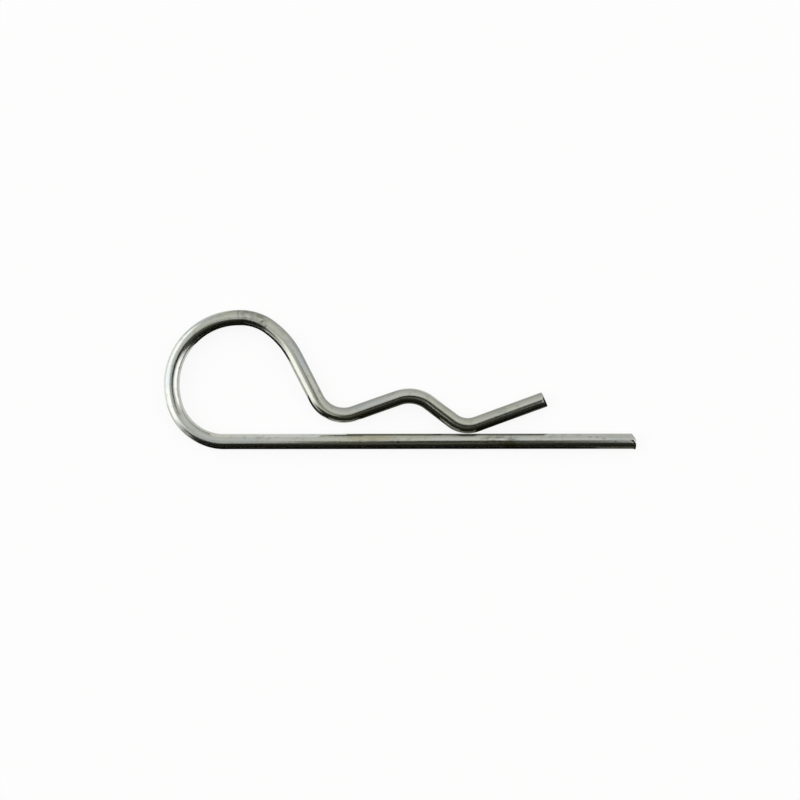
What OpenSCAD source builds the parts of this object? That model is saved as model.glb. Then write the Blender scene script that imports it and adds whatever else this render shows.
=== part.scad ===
// An R clip: one spring wire bent flat into a straight leg, an open round eye and a waved arm.
// The leg goes through the cross hole of a round shaft. The arm rides over the shaft and holds it.
// Sizes are in millimetres. The clip lies flat: its wire bends in the XY plane and +Z is up.
// The origin is on the leg's centre line, straight under the middle of the arm's crest.

/* [Wire] */
// Diameter of the spring wire
wire_d = 3; // [2:0.1:4]
// Chamfer that helps the leg into its hole
leg_chamfer = 0.4; // [0.1:0.1:0.8]
// Broken edge at the arm's cut end
arm_chamfer = 0.1; // [0.05:0.05:0.5]

/* [Leg] */
// Straight length from the leg's tip to the eye
leg_l = 80; // [60:1:100]

/* [Eye] */
// Centre-line radius of the first bend, out of the leg
corner_r = 10; // [8:0.1:14]
// Angle of the first bend
corner_angle = 78; // [70:1:85]
// Centre-line radius of the wide bend round the eye's back
back_r = 13; // [11:0.1:16]
// Angle of the wide bend
back_angle = 101; // [95:1:107]
// Centre-line radius of the tight bend over the top
crown_r = 9.5; // [6:0.1:13]
// Angle of the tight bend
crown_angle = 40; // [34:1:46]
// Centre-line radius of the easy bend that leads into the arm
shoulder_r = 16; // [8:0.5:24]
// Angle of the easy bend
shoulder_angle = 24; // [18:1:30]

/* [Arm] */
// Gap between the arm's heel and the leg
heel_gap = 2.1; // [0.5:0.1:4]
// Centre-line radius of the heel
heel_r = 6; // [4:0.1:8]
// Slope at which the arm climbs from the heel to the crest
rise_angle = 19.5; // [14:0.5:26]
// Diameter of the round shaft that the clip holds
shaft_d = 16; // [14.5:0.5:18]
// How far the seated shaft springs the crest away from the leg
grip = 0.65; // [0:0.05:1]
// Centre-line radius of the crest
crest_r = 6.4; // [4:0.1:10]
// Slope at which the arm comes down from the crest to the toe
fall_angle = 37.5; // [30:0.5:45]
// Gap between the arm's toe and the leg before the clip is sprung
toe_gap = 0.05; // [0.05:0.05:1]
// Centre-line radius of the toe
toe_r = 5; // [3:0.1:8]
// Slope of the upturned tip
tip_angle = 20; // [10:1:35]
// Straight length of the upturned tip
tip_l = 14.3; // [8:0.1:20]

/* [Hidden] */
$fn = 96;

// Straight fed between two bends of the eye
feed_l = 0.5;
// Bending draws the wire this much thinner
bend_thin = 0.02;
// Depth to which a bend's ends run into the straights beside it
root_l = 0.1;

// The eye's bends in order, from the leg to the arm: centre-line radius and angle
EYE = [
    [corner_r, corner_angle],
    [back_r, back_angle],
    [crown_r, crown_angle],
    [shoulder_r, shoulder_angle],
];
function total(v, i = 0) = i < len(v) ? v[i] + total(v, i + 1) : 0;
// How far the wire has turned from the leg before bend i of the eye, or after all of them
function turned(i) = i > 0 ? turned(i - 1) + EYE[i - 1][1] : 0;
// What the eye turns past half a circle is the slope at which the arm comes down from it
drop_angle = turned(len(EYE)) - 180;

// How far the eye carries the wire across the leg and along it: its bends, then the straights between them
eye_across = total([for (i = [0:len(EYE) - 1]) EYE[i][0] * (cos(turned(i)) - cos(turned(i + 1)))])
    + total([for (i = [1:len(EYE) - 1]) feed_l * sin(turned(i))]);
eye_along = total([for (i = [0:len(EYE) - 1]) EYE[i][0] * (sin(turned(i + 1)) - sin(turned(i)))])
    + total([for (i = [1:len(EYE) - 1]) feed_l * cos(turned(i))]);

// Height of the unsprung crest's underside over the leg's centre line
seat_h = shaft_d / 2 - grip;
// Centre-line heights of the heel, crest and toe over the leg's
heel_h = wire_d + heel_gap;
crest_h = seat_h + wire_d / 2;
toe_h = wire_d + toe_gap;

// Straights that reach from bend to bend
drop_l = (eye_across - heel_h - heel_r * (1 - cos(drop_angle))) / sin(drop_angle);
rise_l = (crest_h - heel_h - (heel_r + crest_r) * (1 - cos(rise_angle))) / sin(rise_angle);
fall_l = (crest_h - toe_h - (crest_r + toe_r) * (1 - cos(fall_angle))) / sin(fall_angle);

// From the crest's middle back to the leg's root, along the leg
crest_reach = (crest_r + heel_r) * sin(rise_angle) + rise_l * cos(rise_angle)
    + heel_r * sin(drop_angle) + drop_l * cos(drop_angle) - eye_along;

// The bend table, from the leg's tip: length fed straight, then radius and angle of the bend after it.
// A bend with a plus sign turns the way the eye does.
BENDS = concat(
    [for (i = [0:len(EYE) - 1]) concat(i == 0 ? leg_l : feed_l, EYE[i])],
    [
        [drop_l, heel_r, -drop_angle - rise_angle],
        [rise_l, crest_r, rise_angle + fall_angle],
        [fall_l, toe_r, -fall_angle - tip_angle],
    ]
);

// Straight wire along +X with a chamfer on the end that is cut off
module straight(l, start_chamfer = 0, end_chamfer = 0) {
    r = wire_d / 2;
    rotate([0, 90, 0])
        rotate_extrude()
            polygon([
                [0, 0], [r - start_chamfer, 0], [r, start_chamfer],
                [r, l - end_chamfer], [r - end_chamfer, l], [0, l],
            ]);
}

// Bent wire that starts along +X and turns towards +Y, or towards -Y when the angle is negative
module bend(r, a) {
    root_angle = root_l / r * 180 / PI;
    mirror([0, a < 0 ? 1 : 0, 0])
        translate([0, r, 0])
            rotate([0, 0, -90 - root_angle])
                rotate_extrude(angle = abs(a) + 2 * root_angle)
                    translate([r, 0])
                        circle(d = wire_d - bend_thin);
}

// Moves what follows to the far end of a bend
module past_bend(r, a) {
    translate([0, sign(a) * r, 0])
        rotate([0, 0, a])
            translate([0, -sign(a) * r, 0])
                children();
}

// Lays the wire from row i of the table to the arm's cut end
module lay(i = 0) {
    if (i < len(BENDS)) {
        l = BENDS[i][0];
        r = BENDS[i][1];
        a = BENDS[i][2];
        straight(l, start_chamfer = i == 0 ? leg_chamfer : 0);
        translate([l, 0, 0]) {
            bend(r, a);
            past_bend(r, a) lay(i + 1);
        }
    } else {
        straight(tip_l, end_chamfer = arm_chamfer);
    }
}

// The wire is fed from the leg's tip towards -X, with the eye and the arm on the +Y side
module r_clip() {
    color("silver")
        translate([leg_l - crest_reach, 0, 0])
            rotate([0, 180, 0])
                lay();
}

r_clip();
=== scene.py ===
# %% [markdown]
# # A hitch R clip, bent from one length of spring wire
#
# The clip locks a pin: its straight leg goes through the pin's cross hole, and its bent arm snaps
# over the pin's shaft. The whole object is one piece of round wire that was cut, bent and zinc
# plated. This lesson makes the wire as a bending machine does, gives it its plating, and lights it
# with lamps and cards, because bright metal shows whatever stands round it.
#
# The imported CAD model is loaded first, as a fixed frame. Its box is kept, and the floor is laid
# at its bottom.

# %% Load the frame
import math

import bmesh
import bpy
from mathutils import Matrix, Vector, noise


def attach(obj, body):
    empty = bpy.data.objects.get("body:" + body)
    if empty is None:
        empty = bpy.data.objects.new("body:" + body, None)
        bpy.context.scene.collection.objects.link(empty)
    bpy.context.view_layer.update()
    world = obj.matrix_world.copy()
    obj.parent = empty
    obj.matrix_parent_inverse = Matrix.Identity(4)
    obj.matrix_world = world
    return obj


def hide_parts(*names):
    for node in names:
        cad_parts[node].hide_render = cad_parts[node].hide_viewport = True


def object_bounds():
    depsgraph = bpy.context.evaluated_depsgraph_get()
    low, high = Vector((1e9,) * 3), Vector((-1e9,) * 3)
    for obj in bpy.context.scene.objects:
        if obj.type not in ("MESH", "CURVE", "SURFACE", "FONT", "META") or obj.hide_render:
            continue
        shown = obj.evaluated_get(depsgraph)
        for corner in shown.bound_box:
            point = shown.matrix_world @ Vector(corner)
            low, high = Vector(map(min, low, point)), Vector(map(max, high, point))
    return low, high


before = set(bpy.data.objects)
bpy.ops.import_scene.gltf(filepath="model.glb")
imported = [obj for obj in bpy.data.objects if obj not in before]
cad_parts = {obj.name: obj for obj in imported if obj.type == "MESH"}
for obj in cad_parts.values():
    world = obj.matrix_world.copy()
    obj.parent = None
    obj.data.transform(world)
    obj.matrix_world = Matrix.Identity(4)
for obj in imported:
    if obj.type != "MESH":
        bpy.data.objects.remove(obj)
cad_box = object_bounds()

MM = 0.001  # the drawing is in millimetres, and Blender's lengths here are metres
scene = bpy.context.scene
scene.view_settings.view_transform = "Standard"  # a colour is shown as it is written
print("CAD nodes:", sorted(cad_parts))
print("CAD box, mm:", [round((b - a) / MM, 2) for a, b in zip(*cad_box)])

# %% [markdown]
# ## The bend table
#
# A wire bender feeds wire and turns it round a pin, again and again, so the drawing of its product
# is a table: feed so much, then bend at this radius through this angle. The four bends of the eye
# turn the wire by 243 degrees, and the arm comes back down towards the leg at the 63 degrees that
# this is more than half a circle. The arm's straights aren't chosen. They follow from how high the
# heel, the crest and the toe of the arm are over the leg.

# %% Sizes from the drawing
WIRE_D, LEG_L, FEED_L = 3.0, 80.0, 0.5
EYE = [(10.0, 78.0), (13.0, 101.0), (9.5, 40.0), (16.0, 24.0)]  # corner, back, crown, shoulder
HEEL_GAP, HEEL_R, RISE = 2.1, 6.0, math.radians(19.5)
SHAFT_D, GRIP, CREST_R, FALL = 16.0, 0.65, 6.4, math.radians(37.5)
TOE_GAP, TOE_R, TIP, TIP_L = 0.05, 5.0, math.radians(20.0), 14.3

# %% Follow the eye, then solve the straights
bends, turned, eye_along, eye_across = [], 0.0, 0.0, 0.0
for radius, degrees in EYE:
    fed = FEED_L if bends else 0.0
    after = turned + math.radians(degrees)
    eye_along += fed * math.cos(turned) + radius * (math.sin(after) - math.sin(turned))
    eye_across += fed * math.sin(turned) + radius * (math.cos(turned) - math.cos(after))
    bends.append((FEED_L if bends else LEG_L, radius, math.radians(degrees)))
    turned = after
DROP = turned - math.pi

heel_h, toe_h = WIRE_D + HEEL_GAP, WIRE_D + TOE_GAP
crest_h = SHAFT_D / 2 - GRIP + WIRE_D / 2
drop_l = (eye_across - heel_h - HEEL_R * (1 - math.cos(DROP))) / math.sin(DROP)
rise_l = (crest_h - heel_h - (HEEL_R + CREST_R) * (1 - math.cos(RISE))) / math.sin(RISE)
fall_l = (crest_h - toe_h - (CREST_R + TOE_R) * (1 - math.cos(FALL))) / math.sin(FALL)
crest_reach = (
    (CREST_R + HEEL_R) * math.sin(RISE) + rise_l * math.cos(RISE)
    + HEEL_R * math.sin(DROP) + drop_l * math.cos(DROP) - eye_along
)
bends += [
    (drop_l, HEEL_R, -DROP - RISE),
    (rise_l, CREST_R, RISE + FALL),
    (fall_l, TOE_R, -FALL - TIP),
]
for length, radius, angle in bends:
    print(f"feed {length:5.2f} mm, bend at {radius:4.1f} mm by {math.degrees(angle):5.1f} degrees")

# %% [markdown]
# ## Start the wire at its cut end
#
# The mesh grows as the wire does on the machine: one ring of points is the wire's section, and it
# is extruded along each feed and spun round each bend. A curve with a round bevel would also give
# the tube, but not what is special about a cut end. Shears press one side of the wire over before
# the steel tears, so that side has a wide slope, and the other side keeps a sharp, raised edge.
#
# Every point also carries where it lay while the wire was still straight: how far along, and where
# on the section. The plating's pattern follows this, so that it bends with the wire.

# %% The growing wire
SECTION_POINTS = 72
WIRE_R = WIRE_D / 2 * MM
clip = bmesh.new()
straightened = clip.verts.layers.float_vector.new("straightened")
front = {"at": Vector(((LEG_L - crest_reach) * MM, 0, 0)), "way": Vector((-1, 0, 0)), "fed": 0.0}
centre_line = []  # (wire fed, middle of the section) for each ring


def section_frame():
    """The front section's own axes: along the wire, across it in the clip's plane, and up."""
    way = front["way"]
    axes = Matrix((way, (way.y, -way.x, 0), (0, 0, 1))).transposed().to_4x4()
    return Matrix.Translation(front["at"]) @ axes


def take_front(geom):
    """The ring in geom becomes the front, and its points note how much wire has been fed."""
    front["geom"] = [g for g in geom if not isinstance(g, bmesh.types.BMFace)]
    for point in front["geom"]:
        if isinstance(point, bmesh.types.BMVert):
            point[straightened].x = front["fed"]


# %% The leg's cut end
upright = Matrix.Rotation(math.pi / 2, 4, "Y")
ring = bmesh.ops.create_circle(
    clip, segments=SECTION_POINTS, radius=WIRE_R, matrix=section_frame() @ upright)["verts"]
home = section_frame().inverted()
for point in ring:
    point[straightened] = home @ point.co
take_front(ring + list({e for point in ring for e in point.link_edges}))
print("section:", len(ring), "points round", round(WIRE_R / MM, 2), "mm")

# %% [markdown]
# ## Feed and bend
#
# Spin is the bending pin of this mesh. With an axis and an angle it carries the front ring round
# the pin and leaves the wire's skin behind it, and with an angle of nothing and a step of length it
# is the feed. Each call makes several rings, two degrees or a millimetre and a half apart: close
# enough for a round outline and an even highlight, and few enough to stay a light mesh.

# %% Feed, bend, and reshape the front
RING_STEP, RING_ANGLE = 1.5 * MM, math.radians(2)


def run_out(rings, length, **turn):
    """Spins the front into that many new rings, which take up that length of wire."""
    old = len(clip.verts)
    made = bmesh.ops.spin(clip, geom=front["geom"], steps=rings, **turn)["geom_last"]
    points = list(clip.verts)[old:]
    for i in range(rings):
        ring = points[i * SECTION_POINTS:(i + 1) * SECTION_POINTS]
        fed = front["fed"] + length * (i + 1) / rings
        for point in ring:
            point[straightened].x = fed
        centre_line.append((fed, sum((point.co for point in ring), Vector()) / SECTION_POINTS))
    front["geom"] = made
    front["fed"] += length


def feed(length, rings=0):
    """Feeds the wire straight on."""
    rings = rings or max(1, round(length / RING_STEP))
    step = front["way"] * (length / rings)
    run_out(rings, length, cent=front["at"], axis=(0, 0, 1), angle=0, dvec=step)
    front["at"] = front["at"] + front["way"] * length


def bend(radius, angle):
    """Turns the wire round a pin on the leg's side of it, or on the other side for a minus sign."""
    side = Vector((front["way"].y, -front["way"].x, 0)) * math.copysign(radius, angle)
    pin = front["at"] + side
    rings = max(1, round(abs(angle) / RING_ANGLE))
    run_out(rings, radius * abs(angle), cent=pin, axis=(0, 0, 1), angle=-angle)
    turn = Matrix.Rotation(-angle, 3, "Z")
    front["at"] = pin + turn @ (front["at"] - pin)
    front["way"] = turn @ front["way"]


def reshape(shape):
    """Changes the front ring in the section's own axes: along the wire, across it and up."""
    place = section_frame() @ shape @ section_frame().inverted()
    points = [g for g in front["geom"] if isinstance(g, bmesh.types.BMVert)]
    bmesh.ops.transform(clip, matrix=place, verts=points)


def slide(across=0.0, up=0.0):
    """A slanting cut: points move along the wire by so much for each metre across it and up it."""
    shape = Matrix.Identity(4)
    shape[0][1], shape[0][2] = across, up
    return shape


# %% [markdown]
# ## The leg's end, the bends, and the arm's end
#
# The leg was cut by shears that came from the eye's side, so the slope round its cut is wide there
# and narrow opposite. The arm was cut square, with a trace of a slope, and its cut leans back a few
# degrees, as shears leave it. Between the two, the bend table is run row by row.

# %% The leg's sheared end
END_L, SLOPE_L, SLOPE_SLANT = 1.2 * MM, 0.5 * MM, 0.1
SLOPE_IN, BURR, PRESSED = 0.78 * MM, 0.13 * MM, 0.25 * MM
cut_face = (
    Matrix.Translation((0, -(SLOPE_IN + BURR) / 2, 0))
    @ Matrix.Diagonal((1, 1 - (SLOPE_IN - BURR) / WIRE_D / MM, 1 - PRESSED / WIRE_R, 1))
)
slope_root = slide(across=SLOPE_SLANT)
reshape(cut_face)
leg_cut = front["geom"]
feed(SLOPE_L, rings=1)
reshape(slope_root @ cut_face.inverted())
leg_slope = front["geom"]
feed(END_L - SLOPE_L, rings=1)
reshape(slope_root.inverted())
print("slope:", round(SLOPE_IN / MM, 2), "mm deep, raised edge:", round(BURR / MM, 2), "mm")

# %% Run the bend table
start = front["fed"]
for row, (length, radius, angle) in enumerate(bends):
    feed(length * MM - (0 if row else start))
    bend(radius * MM, angle)
print("wire fed so far:", round(front["fed"] / MM, 2), "mm")

# %% The arm's sheared end
ARM_SLOPE, ARM_SLANT, CUT_LEAN = 0.12 * MM, 0.06, math.tan(math.radians(8))
feed(TIP_L * MM - END_L)
feed(END_L - ARM_SLOPE, rings=1)
lean = slide(across=ARM_SLANT, up=-CUT_LEAN)
reshape(Matrix.Translation((-WIRE_R * CUT_LEAN, 0, 0)) @ lean)
arm_slope = front["geom"]
feed(ARM_SLOPE, rings=1)
reshape(Matrix.Diagonal((1, 1 - ARM_SLOPE / WIRE_R, 1 - ARM_SLOPE / WIRE_R, 1)))
arm_cut = front["geom"]
WIRE_L = front["fed"]
print("wire used:", round(WIRE_L / MM, 2), "mm")
print("arm's end, mm:", [round(c / MM, 2) for c in front["at"]])

# %% [markdown]
# ## The cut faces
#
# A sheared face has two zones: a bright band where the blade slid through, then a dull, sunken
# patch where the rest of the steel tore. Insets make the zones, and a small bevel takes the knife
# edge off the slope, as tumbling and plating do.

# %% Close both ends, with a torn zone in each
PLATED, TORN = 0, 1  # places in the mesh's list of materials
EDGE_BREAK = 0.035 * MM
# From the rim inwards: how wide each ring of the face is, how far it rises or sinks, and its finish
ZONES = ((0.16, 0, PLATED), (0.05, -0.035, PLATED), (0.3, -0.03, TORN), (0.35, 0.02, TORN))


def edges_of(geom):
    return [g for g in geom if isinstance(g, bmesh.types.BMEdge)]


for cut, slope in ((leg_cut, leg_slope), (arm_cut, arm_slope)):
    cap = bmesh.ops.contextual_create(clip, geom=edges_of(cut))["faces"]
    bmesh.ops.recalc_face_normals(clip, faces=clip.faces)
    for wide, rise, finish in ZONES:
        for face in cap:
            face.material_index = finish
        bmesh.ops.inset_region(
            clip, faces=cap, thickness=wide * MM, depth=rise * MM, use_even_offset=True)
    bmesh.ops.bevel(clip, geom=edges_of(cut + slope), offset=EDGE_BREAK, offset_type="OFFSET",
                    segments=2, profile=0.5, affect="EDGES", material=-1)
print("faces:", len(clip.faces))

# %% [markdown]
# ## Not quite round
#
# Drawn wire is a hundredth or two of a millimetre off round, and bending adds to it. Nobody sees
# that in the outline, but it makes the highlights on the real wire waver. So each point of the skin
# sinks by a little smooth noise, longer along the wire than round it. It only sinks, so the clip
# still lies on the floor. The ends, and what is inside their faces, stay as they were cut.

# %% Let the skin waver
SKIN_SINKS, WAVER_ALONG, WAVER_ROUND = 0.016 * MM, 7.0 * MM, 1.3 * MM
SKIN_FROM = 0.98 * WIRE_R
bmesh.ops.recalc_face_normals(clip, faces=clip.faces)
clip.normal_update()
deepest = 0.0
for point in clip.verts:
    along, across, up = point[straightened]
    if math.hypot(across, up) > SKIN_FROM and END_L < along < WIRE_L - END_L:
        place = (along / WAVER_ALONG, across / WAVER_ROUND, up / WAVER_ROUND)
        depth = 0.5 + 0.5 * noise.noise(place)
        point.co -= point.normal * depth * SKIN_SINKS
        deepest = max(deepest, depth)
print("deepest hollow, mm:", round(deepest * SKIN_SINKS / MM, 4))

# %% Make the mesh
SHARP_FROM = math.radians(32)
mesh = bpy.data.meshes.new("clip_wire")
clip.to_mesh(mesh)
clip.free()
mesh.shade_smooth()
mesh.set_sharp_from_angle(angle=SHARP_FROM)
wire = bpy.data.objects.new("clip_wire", mesh)
scene.collection.objects.link(wire)
print("triangles:", sum(len(p.vertices) - 2 for p in mesh.polygons))

# %% [markdown]
# ## Finishes
#
# One function turns the sRGB colours of the finishes to the linear ones that Blender mixes, and one
# adds a node of any kind, with its settings, values and links.

# %% Helpers for materials


def colour(hex_code):
    """An sRGB hex colour as linear red, green, blue and alpha."""
    values = [int(hex_code[i:i + 2], 16) / 255 for i in (1, 3, 5)]
    return [v / 12.92 if v <= 0.04045 else ((v + 0.055) / 1.055) ** 2.4 for v in values] + [1.0]


def new_material(name):
    """A material whose node tree is still empty, and that tree."""
    material = bpy.data.materials.new(name)
    material.use_nodes = True
    material.node_tree.nodes.clear()
    return material, material.node_tree


def add(tree, kind, inputs=(), **settings):
    """A new node. Each input is a value, or another node's output to link."""
    node = tree.nodes.new(kind)
    for name, value in settings.items():
        setattr(node, name, value)
    for socket, value in dict(inputs).items():
        if isinstance(value, bpy.types.NodeSocket):
            tree.links.new(value, node.inputs[socket])
        else:
            node.inputs[socket].default_value = value
    return node


# %% [markdown]
# ## Bright zinc plate on drawn wire
#
# Zinc goes on a few thousandths of a millimetre thick, so the drawn wire still shows through it:
# fine lines along the wire from the die. The chromate dip after plating leaves a film so thin that
# it tints the grey here a little olive and there a little blue. To the eye that is a soft mirror,
# which shows the lamps and the dark things round it with blurred edges.
#
# The real lines are a few hundredths of a millimetre wide. They are drawn coarser here, so that a
# picture of the whole clip still shows a trace of them.

# %% Noise on the straightened wire
zinc, zinc_tree = new_material("bright_zinc_plated_drawn_wire")
along_wire = add(zinc_tree, "ShaderNodeAttribute", attribute_name="straightened").outputs["Vector"]


def blotches(along, round_, offset, detail=2.0):
    """Smooth noise on the straightened wire, with blotches of that size along it and round it."""
    place = add(zinc_tree, "ShaderNodeMapping", {
        "Vector": along_wire, "Location": (offset, offset, offset),
        "Scale": (1 / along, 1 / round_, 1 / round_)}).outputs["Vector"]
    sockets = {"Vector": place, "Scale": 1.0, "Detail": detail}
    return add(zinc_tree, "ShaderNodeTexNoise", sockets).outputs


def patches(along, round_, offset, low, high, detail=2.0):
    """Where that noise is under low this is 0, and where it is over high it is 1."""
    level = blotches(along, round_, offset, detail)["Fac"]
    sockets = {"Value": level, "From Min": low, "From Max": high}
    return add(zinc_tree, "ShaderNodeMapRange", sockets).outputs["Result"]


# %% The zinc plate's tints and lines
PLATE, OLIVE, BLUE, CLOUDY = "#BEC0BB", "#B7B8A8", "#ADB4BA", "#A9AAA0"
# What lies over the plain plate, from the first layer to the last: where it is, and its colour
layers = [
    (patches(11 * MM, 4 * MM, 3.1, 0.42, 0.72), OLIVE),
    (patches(8 * MM, 3 * MM, 7.7, 0.52, 0.8), BLUE),
    (patches(1.3 * MM, 0.9 * MM, 5.2, 0.55, 0.75), CLOUDY),
]
lines = patches(16 * MM, 0.22 * MM, 1.3, 0.3, 0.7, detail=3.0)
print("tints over the plain plate:", len(layers))

# %% [markdown]
# ## Marks of making and wear
#
# A clip that has been tumbled, bent and plated in bulk isn't even. Where one bending stroke ended
# and the next began there is a seam, and past it the crown's plate is mottled and has two pits. The
# leg has two pits as well, a stained patch with a yellow spot and a bright scratch beside it, and a
# long stretch where the chromate film is yellower. Each mark is an oval on the straightened wire,
# with its edge made ragged by noise.

# %% Ovals on the straightened wire
RAGGED = 0.5 * MM
MARK_ENDS, MARK_FULL = 1.2, 0.8  # from its middle, as parts of a mark's half size
shake = blotches(0.5 * MM, 0.4 * MM, 2.4)["Color"]
shake = add(zinc_tree, "ShaderNodeVectorMath", {0: shake, 1: (0.5, 0.5, 0.5)}, operation="SUBTRACT")
shake = add(zinc_tree, "ShaderNodeVectorMath", {0: shake.outputs[0], "Scale": RAGGED},
            operation="SCALE")
ragged = add(zinc_tree, "ShaderNodeVectorMath", {0: along_wire, 1: shake.outputs[0]},
             operation="ADD").outputs[0]


def mark(along, across, half_length, half_width, strength):
    """As much as strength inside an oval on the wire, and 0 outside. Sizes are in millimetres."""
    oval = add(zinc_tree, "ShaderNodeMapping", {
        "Vector": ragged, "Scale": (1 / half_length / MM, 1 / half_width / MM, 0),
        "Location": (-along / half_length, -across / half_width, 0)}).outputs["Vector"]
    away = add(zinc_tree, "ShaderNodeVectorMath", {0: oval}, operation="LENGTH").outputs["Value"]
    sockets = {"Value": away, "From Min": MARK_ENDS, "From Max": MARK_FULL, "To Max": strength}
    return add(zinc_tree, "ShaderNodeMapRange", sockets).outputs["Result"]


# %% The mottled crown and the stained patch
STAIN = "#6E6A58"
fine_mottle = patches(1.0 * MM, 0.7 * MM, 8.8, 0.35, 0.7, detail=1.0)
MOTTLED = (((120.1, 0, 2.8, 2.5, 0.7), "#7F8078"), ((26.4, 0.3, 3.4, 1.1, 0.6), STAIN))
for oval, tone in MOTTLED:
    sockets = {0: mark(*oval), 1: fine_mottle}
    share = add(zinc_tree, "ShaderNodeMath", sockets, operation="MULTIPLY").outputs[0]
    layers.append((share, tone))
print("mottled marks:", len(MOTTLED))

# %% The other marks
FILM, SCRATCH, SPOT, PIT = "#A8A383", "#D8D9D2", "#8C8A5C", "#3C3B36"
# How far along the wire and across it, half length, half width, and strength
MARKS = (
    ((51.7, 0.66, 4.6, 0.55, 0.55), FILM),
    ((117.39, -0.9, 0.16, 0.8, 0.5), STAIN),  # the seam
    ((26.9, 0.45, 1.6, 0.12, 0.5), SCRATCH),
    ((24.4, -0.6, 1.2, 0.8, 0.7), SPOT),
    ((46.1, -0.12, 0.2, 0.2, 0.8), PIT),
    ((4.1, 0.04, 0.18, 0.18, 0.6), PIT),
    ((122.1, -0.2, 0.26, 0.26, 0.6), PIT),
    ((123.1, 0.4, 0.22, 0.22, 0.6), PIT),
)
layers += [(mark(*oval), tone) for oval, tone in MARKS]
print("other marks:", len(MARKS))

# %% [markdown]
# ## Painted shade along the sheared rims
#
# The sharp, torn rim of a cut lies in its own thin shadow, and that shade is painted into the
# plate's colour here: a black line, a few tenths of a millimetre wide, follows the rim. On the leg
# it swings in from the raised edge towards the middle, where the blade broke through, and on the
# arm it keeps to the edge. The lines have no hard border, so each pair of sizes says where one is
# still black and where it has faded.

# %% How far a point is from the rims
SWING_FROM = -0.5 * MM
along, across, _ = add(zinc_tree, "ShaderNodeSeparateXYZ", {0: ragged}).outputs
swing = add(zinc_tree, "ShaderNodeMath", {0: across, 1: SWING_FROM}, operation="SUBTRACT")
swing = add(zinc_tree, "ShaderNodeMath", {0: swing.outputs[0], 1: 0.0}, operation="MAXIMUM")
past_rim = add(zinc_tree, "ShaderNodeMath", {0: along, 1: swing.outputs[0]},
               operation="SUBTRACT")
from_rim = add(zinc_tree, "ShaderNodeMath", {0: past_rim.outputs[0]}, operation="ABSOLUTE")
before_end = add(zinc_tree, "ShaderNodeMath", {0: WIRE_L, 1: along}, operation="SUBTRACT")
print("the leg's line swings in from", round(SWING_FROM / MM, 2), "mm across the wire")

# %% The painted shade on the rims
# Painted shade: the near-black of the rims' own shadow, laid into the plate's colour
RIM_SHADE = "#171716"
LEG_LINE, LEG_ACROSS = (0.32 * MM, 0.42 * MM), (0.15 * MM, 0.35 * MM)
ARM_LINE, ARM_ACROSS = (0.28 * MM, 0.4 * MM), (-0.3 * MM, -0.6 * MM)


def painted_rim_shade(away, width, run):
    """1 on painted shade along a rim. Its pairs bound how wide it is, and how far it runs across.
    """
    sockets = {"Value": away, "From Min": width[1], "From Max": width[0]}
    near = add(zinc_tree, "ShaderNodeMapRange", sockets).outputs["Result"]
    sockets = {"Value": across, "From Min": run[1], "From Max": run[0]}
    within = add(zinc_tree, "ShaderNodeMapRange", sockets).outputs["Result"]
    return add(zinc_tree, "ShaderNodeMath", {0: near, 1: within}, operation="MULTIPLY").outputs[0]


# Painted shade along the leg's cut and along the arm's cut, mixed over the plate
layers.append((painted_rim_shade(from_rim.outputs[0], LEG_LINE, LEG_ACROSS), RIM_SHADE))
layers.append((painted_rim_shade(before_end.outputs[0], ARM_LINE, ARM_ACROSS), RIM_SHADE))
print("black lines, mm wide:", round(LEG_LINE[1] / MM, 2), "and", round(ARM_LINE[1] / MM, 2))

# %% Lay the layers over the plain plate
plate = colour(PLATE)
for share, tone in layers:
    sockets = {0: share, 6: plate, 7: colour(tone)}
    plate = add(zinc_tree, "ShaderNodeMix", sockets, data_type="RGBA").outputs[2]
print("layers:", len(layers))

# %% The zinc plate's gloss
SMOOTHEST, ROUGHEST, LINE_HEIGHT = 0.14, 0.22, 0.0012 * MM
sockets = {"Value": lines, "To Min": SMOOTHEST, "To Max": ROUGHEST}
roughness = add(zinc_tree, "ShaderNodeMapRange", sockets).outputs["Result"]
bump = add(zinc_tree, "ShaderNodeBump", {"Height": lines, "Distance": LINE_HEIGHT, "Strength": 1.0})
skin = add(zinc_tree, "ShaderNodeBsdfPrincipled", {
    "Base Color": plate, "Metallic": 1.0, "Roughness": roughness, "Normal": bump.outputs["Normal"]})
add(zinc_tree, "ShaderNodeOutputMaterial", {"Surface": skin.outputs["BSDF"]})
print("nodes in the whole finish:", len(zinc_tree.nodes))

# %% [markdown]
# ## Torn steel in the cuts
#
# In the middle of each cut face the steel tore. It is a dull, grainy grey, and only its rim has a
# trace of plate. Noise gives the grain both its tone and its relief.

# %% The torn steel
GRAIN, GRAIN_HEIGHT = 0.22 * MM, 0.03 * MM
torn, torn_tree = new_material("sheared_spring_steel")
place = add(torn_tree, "ShaderNodeTexCoord").outputs["Object"]
grain = add(torn_tree, "ShaderNodeTexNoise", {"Vector": place, "Scale": 1 / GRAIN, "Detail": 4.0})
grain = grain.outputs["Fac"]
sockets = {0: grain, 6: colour("#5E5E58"), 7: colour("#96958C")}
steel = add(torn_tree, "ShaderNodeMix", sockets, data_type="RGBA").outputs[2]
sockets = {"Height": grain, "Distance": GRAIN_HEIGHT, "Strength": 1.0}
bump = add(torn_tree, "ShaderNodeBump", sockets)
skin = add(torn_tree, "ShaderNodeBsdfPrincipled", {
    "Base Color": steel, "Metallic": 1.0, "Roughness": 0.45, "Normal": bump.outputs["Normal"]})
add(torn_tree, "ShaderNodeOutputMaterial", {"Surface": skin.outputs["BSDF"]})
print("grains across a cut:", round(WIRE_D * MM / GRAIN))

# %% Dress the wire and put it in the CAD node's place
mesh.materials.append(zinc)
mesh.materials.append(torn)
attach(wire, "root")
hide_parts("r_clip")
print("finishes:", [material.name for material in mesh.materials])

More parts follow.
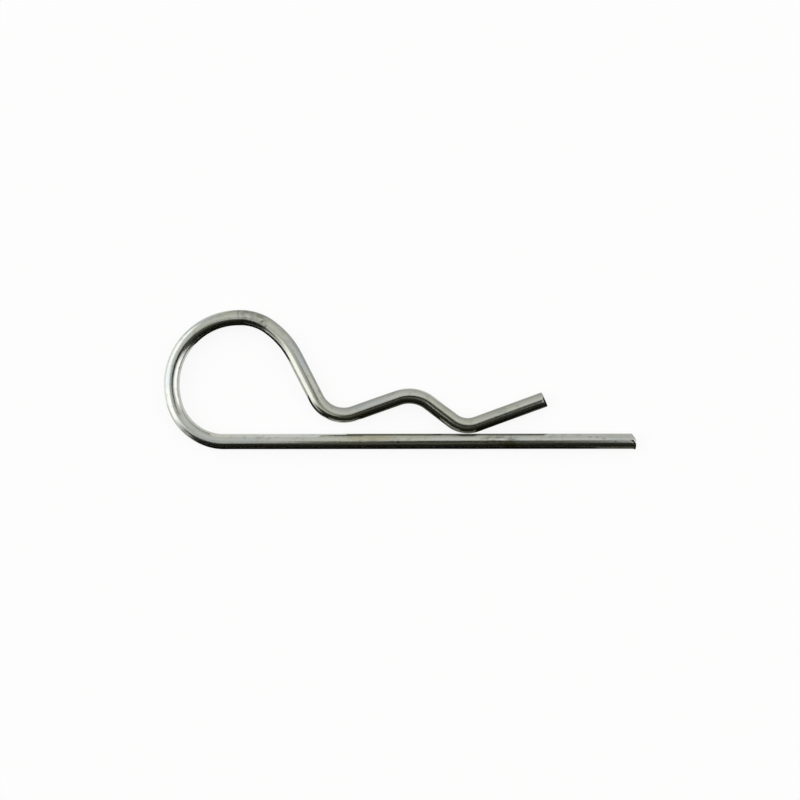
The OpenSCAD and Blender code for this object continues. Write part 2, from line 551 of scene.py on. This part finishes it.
# %% [markdown]
# ## Camera
#
# A camera looks straight down on the clip from 22 centimetres. So near, the wire at either end of
# the clip is seen up to twelve degrees from the side, and what it mirrors changes along it. A long
# lens far away would show nearly the same outline, with more even reflections.

# %% The camera
CAMERA_UP, VIEW_WIDTH, SENSOR = 0.22, 155.76 * MM, 36.0
VIEW_X, VIEW_Y, VIEW_TURN = -1.78 * MM, 8.06 * MM, -0.001
camera = bpy.data.objects.new("camera", bpy.data.cameras.new("camera"))
camera.data.sensor_width = SENSOR
camera.data.lens = SENSOR * CAMERA_UP / VIEW_WIDTH
camera.location = (VIEW_X, VIEW_Y, CAMERA_UP)
camera.rotation_euler = (0, 0, VIEW_TURN)
scene.collection.objects.link(camera)
scene.camera = camera
print("lens, mm:", round(camera.data.lens, 1))

# %% [markdown]
# ## A white floor
#
# The clip lies on white card. What the camera sees of the card is mostly a plain white, which
# leaves the clip only a weak shadow, as on a catalogue page. The same white shows in the wire. For
# the light that falls on it and bounces from it, it stays an ordinary white card.

# %% The floor
FLOOR_SIZE, PLAIN_SHARE = 3.0, 0.88
paper = bmesh.new()
bmesh.ops.create_grid(paper, x_segments=1, y_segments=1, size=FLOOR_SIZE,
                      matrix=Matrix.Translation((0, 0, cad_box[0].z)))
floor_mesh = bpy.data.meshes.new("floor")
paper.to_mesh(floor_mesh)
paper.free()
floor = bpy.data.objects.new("floor", floor_mesh)
scene.collection.objects.link(floor)
print("floor at", round(cad_box[0].z / MM, 2), "mm")

# %% The floor's white
white, white_tree = new_material("white_card")
path = add(white_tree, "ShaderNodeLightPath").outputs
seen = path["Is Camera Ray"]
for ray in ("Is Glossy Ray", "Is Transmission Ray"):
    sockets = {0: seen, 1: path[ray]}
    seen = add(white_tree, "ShaderNodeMath", sockets, operation="MAXIMUM").outputs[0]
share = add(white_tree, "ShaderNodeMath", {0: seen, 1: PLAIN_SHARE}, operation="MULTIPLY")
sheet = add(white_tree, "ShaderNodeBsdfDiffuse", {"Color": colour("#FAFAFA")})
glow = add(white_tree, "ShaderNodeEmission", {"Color": colour("#FFFFFF"), "Strength": 1.0})
sockets = {0: share.outputs[0], 1: sheet.outputs[0], 2: glow.outputs[0]}
both = add(white_tree, "ShaderNodeMixShader", sockets)
add(white_tree, "ShaderNodeOutputMaterial", {"Surface": both.outputs[0]})
floor_mesh.materials.append(white)
print("of what is seen, plain white is", PLAIN_SHARE)

# %% [markdown]
# ## A grey room and two softboxes
#
# Bright metal has hardly a colour of its own: the middle grey on the wire is the room's pale grey,
# and its white bands are two softboxes that stand to the left and to the right. The cloth of a
# softbox is brightest in the middle, so each is made of two area lamps, a smaller one in front of a
# larger. A lamp's power is worked out from how bright its face should look, and its edges from the
# angles at which the wire sees them.

# %% The room
ROOM_TONE = "#E1E1DE"
world = bpy.data.worlds.new("studio")
scene.world = world
world.use_nodes = True
world.node_tree.nodes.clear()
sky = add(world.node_tree, "ShaderNodeBackground", {"Color": colour(ROOM_TONE), "Strength": 1.0})
add(world.node_tree, "ShaderNodeOutputWorld", {"Surface": sky.outputs[0]})
print("room's tone, linear:", [round(part, 3) for part in colour(ROOM_TONE)[:3]])

# %% The softboxes
AWAY, CORE_AWAY = 1.2, 1.15


def tan(degrees):
    return math.tan(math.radians(degrees))


def softbox(name, x, low, high, top, radiance):
    """An even rectangle of light at x, which stands on the floor and faces the clip.

    Its edges are angles in degrees: the low and the high one are bearings, and top is measured from
    straight up.
    """
    lamp = bpy.data.lights.new(name, "AREA")
    lamp.shape = "RECTANGLE"
    y_low, y_high, height = abs(x) * tan(low), abs(x) * tan(high), abs(x) / tan(top)
    lamp.size, lamp.size_y = height, y_high - y_low
    lamp.energy = radiance * math.pi * lamp.size * lamp.size_y
    thing = bpy.data.objects.new(name, lamp)
    thing.location = (x, (y_low + y_high) / 2, height / 2)
    thing.rotation_euler = (0, math.copysign(math.pi / 2, x), 0)
    thing.visible_camera = False
    scene.collection.objects.link(thing)
    print(name, "is", round(lamp.size_y, 2), "m wide and", round(lamp.size, 2), "m high")


softbox("softbox_left", -AWAY, -31, 51, 22, 0.5)
softbox("softbox_left_core", -CORE_AWAY, -26, 45, 30, 0.72)
softbox("softbox_right", AWAY, -34, 30, 36, 0.5)
softbox("softbox_right_core", CORE_AWAY, -29, 21, 45, 0.68)

# %% [markdown]
# ## A black card, and what hangs over the clip
#
# Without something dark round it, bright metal looks like white plastic. A tall black card stands
# in front of the clip and gives the wire its dark half. Close above are the camera's back and the
# dark clothes of whoever takes the picture, and over the eye's side of the clip a patch of pale
# ceiling. Only their outlines show in the wire, so they are flat cards that hang just over the
# camera. They would take light from the floor, so just the mirror sees them.

# %% Tones for the cards
# A card's face is a kind of shader and its inputs. Most show their colour in any light.
BLACK_FELT = ("ShaderNodeBsdfDiffuse", {"Color": colour("#1B1B14")})
SILVER = ("ShaderNodeBsdfPrincipled", {
    "Base Color": colour("#DCDCDA"), "Roughness": 0.3, "Metallic": 1.0})
PLAIN_TONES = (
    "#14140E", "#2C2C24", "#5C5C52", "#7E7E74", "#CACAC6", ROOM_TONE, "#F2F2EF", "#FFFFFF",
)
BLACK, COAT, DARK, SHADE, GREY, ROOM, PALE, WHITE = [
    ("ShaderNodeEmission", {"Color": colour(tone)}) for tone in PLAIN_TONES
]
print("tones for cards:", len(PLAIN_TONES) + 2)

# %% A card


def card(name, corners, face, back=None):
    """A flat card with these corners, which the camera doesn't see.

    A card that stands turns its front to the clip's arm, and may have another tone behind.
    """
    made = bmesh.new()
    corners = [made.verts.new(corner) for corner in corners]
    sides = [made.edges.new((a, b)) for a, b in zip(corners, corners[1:] + corners[:1])]
    bmesh.ops.triangle_fill(made, edges=sides, use_beauty=True)
    made.faces.ensure_lookup_table()
    if made.faces[0].normal.y < 0:
        bmesh.ops.reverse_faces(made, faces=made.faces[:])
    data = bpy.data.meshes.new(name)
    made.to_mesh(data)
    made.free()
    material, tree = new_material(name)
    surface = add(tree, *face).outputs[0]
    if back:
        behind = add(tree, "ShaderNodeNewGeometry").outputs["Backfacing"]
        sockets = {0: behind, 1: surface, 2: add(tree, *back).outputs[0]}
        surface = add(tree, "ShaderNodeMixShader", sockets).outputs[0]
    add(tree, "ShaderNodeOutputMaterial", {"Surface": surface})
    data.materials.append(material)
    thing = bpy.data.objects.new(name, data)
    scene.collection.objects.link(thing)
    thing.visible_camera = False
    return thing


def strip(name, corners, face, back=None):
    """A card that nothing sees but the wire's mirror. Its corners are in millimetres."""
    thing = card(name, [Vector(corner) * MM for corner in corners], face, back)
    thing.visible_diffuse = thing.visible_shadow = thing.visible_transmission = False
    print(name, "has", len(corners), "corners")


# %% The black card, and the things overhead
black_card = [
    (-1.16, 0), (1.29, 0), (1.33, 1.03), (1.71, 2.1), (1.9, 2.6), (-0.84, 2.6), (-1.08, 1.9),
]
camera_back = [
    (-24, -25), (-46, -8), (-46, 10), (-18, 12), (6, 7), (50, -2), (60, -48), (5, -55),
]
clothes = [
    (-12, 14), (0, 34), (22, 64), (84, 66), (84, 0), (88, -50), (100, -90), (48, -120),
    (18, -205), (-60, -190), (-52, -100), (-40, -50), (-36, -17),
]
coat = [
    (-420, -260), (-110, -90), (-60, -115), (-60, -190), (18, -205), (48, -120), (100, -90),
    (400, -310), (400, -500), (-420, -500),
]
pale_ceiling = [(-260, 50), (260, 50), (320, 300), (-320, 300)]

card("black_card", [(x, -AWAY, z) for x, z in black_card], BLACK_FELT)
overhead = CAMERA_UP / MM + 10
strip("camera_back", [(x, y, overhead - 1) for x, y in camera_back], BLACK)
strip("dark_clothes", [(x, y, overhead) for x, y in clothes], DARK)
strip("black_coat", [(x, y, overhead) for x, y in coat], COAT)
strip("pale_ceiling", [(x, y, overhead + 1) for x, y in pale_ceiling], PALE)

# %% [markdown]
# ## Cards beside the wire
#
# The lower flanks of the wire mirror the table a few millimetres away, and a studio lays strips of
# black, grey and silver card there, cut to the outline of the work. Others stand on edge. Along the
# leg they keep its bright flank out of the arm's dark underside, under the toe they make the two
# dark where they nearly touch, and in the eye they hide the white table from the crown and give the
# arm's inner side something pale to mirror. Afterwards the work is cut out of the picture and put
# on white. Here one rendering does both: only the wire's mirror sees the strips.

# %% Strips on the floor
floor_z = cad_box[0].z / MM
LIFT = 0.05  # of a strip over the floor


def beside(name, face, *parts):
    """A strip on the floor, in millimetres.

    A part of its outline is a corner, or "wire" and the two lengths of fed wire between which it
    follows the wire's middle.
    """
    outline = []
    for a, b in parts:
        if a == "wire":
            run = [(at.x / MM, at.y / MM) for fed, at in centre_line
                   if min(b) <= fed / MM <= max(b)]
            outline += run if b[0] < b[1] else run[::-1]
        else:
            outline.append((a, b))
    strip(name, [(x, y, floor_z + LIFT) for x, y in outline], face)


beside("strip_leg", BLACK, (-38, -1.7), (37, -1.7), (60, -330), (-350, -330), (-47, -3))
beside("strip_corner", SHADE, (-47, -3), (-350, -330), (-350, -240), (-49, -1))
beside("strip_leg_tip", DARK, (37, -1.7), (62, -1.7), (350, -300), (60, -330))
beside("strip_gap", DARK, ("wire", (150, 190)), (34, 6), (34, 1), (-9, 1))
beside("strip_inside", BLACK, ("wire", (107, 128)), (-24, 12), (-18, 4), (-18, 2), (-33, 2),
       (-33, 9), (-35, 12), (-40, 15.5))
beside("strip_arm", GREY, ("wire", (118, 156)), (-2, 14), (9, 15), ("wire", (170, 190)), (34, 6),
       (34, 1), (350, 60), (350, 350), (-300, 350))
beside("strip_left", SILVER, ("wire", (94, 107)), (-250, 180), (-350, 0), (-300, -90))

# %% Strips that stand
TAPER = 3.0
CLEAR_OF_LEG = 1.62
CLOSE_TO_LEG = 1.56
UNDER_TOE = 1.53


def standing(name, start, end, top, face, back=None):
    """A strip on edge between two places, in millimetres, whose front faces the arm.

    Its top tapers to the floor at both ends, so that the wire shows no hard end of it.
    """
    start, end = Vector((*start, floor_z)), Vector((*end, floor_z))
    inwards, up = (end - start).normalized() * TAPER, Vector((0, 0, top - floor_z))
    strip(name, [end, start, start + inwards + up, end - inwards + up], face, back)


def along_leg(name, y, x_low, x_high, top, face, back=None):
    """A strip on edge that runs along the leg, at y on the arm's side of it."""
    standing(name, (x_low, y), (x_high, y), top, face, back)


along_leg("strip_under_eye", CLEAR_OF_LEG, -41, -15, 1.6, BLACK, back=WHITE)
standing("strip_in_eye", (-38.5, 12.6), (-30, 10.5), 0.0, BLACK, back=WHITE)
standing("strip_in_throat", (-24.75, 17.85), (-18.85, 6.3), 1.0, ROOM)
along_leg("strip_under_crest", CLEAR_OF_LEG, -11, 6, 2.1, BLACK, back=ROOM)
along_leg("strip_under_tip", CLEAR_OF_LEG, 11, 47, 2.1, BLACK, back=ROOM)
along_leg("strip_contact", UNDER_TOE, 7, 15.5, 1.2, BLACK, back=DARK)
along_leg("strip_shade_left", CLOSE_TO_LEG, -14.5, 7, 0.9, SHADE)
along_leg("strip_shade_right", CLOSE_TO_LEG, 4, 29, 0.9, SHADE)
